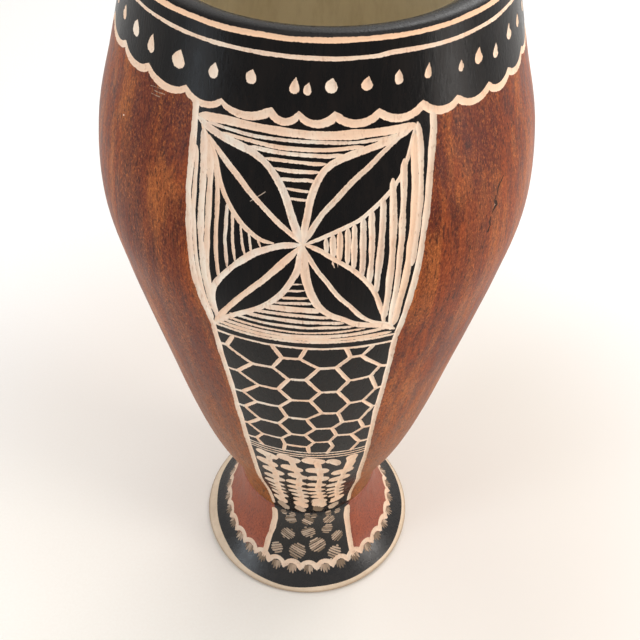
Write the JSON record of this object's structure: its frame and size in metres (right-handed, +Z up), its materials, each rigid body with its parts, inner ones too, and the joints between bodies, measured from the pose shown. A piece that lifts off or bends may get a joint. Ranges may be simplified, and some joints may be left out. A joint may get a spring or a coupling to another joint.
{
  "type": "wooden vase",
  "caption": "Hollow turned wooden vase with a wide mouth, narrow waist and flared foot, cut with a scalloped collar and patterned front and back panels.",
  "frame": {"origin": "centre of the flat underside of the foot, where the vase rests", "axes": "+Z up along the turning axis, -Y towards the carved front panel"},
  "size_m": [0.1396, 0.1396, 0.2848],
  "materials": {
    "body_wood": "reddish-brown stained wood with a satin polish, blackened collar and panels, cut lines down to pale bare wood",
    "foot_wood": "reddish-brown stained wood with a satin polish, blackened band and panels, pale bare base edge"
  },
  "bodies": {
    "root": {"body": "body_wood", "foot": "foot_wood"}
  },
  "joints": []
}
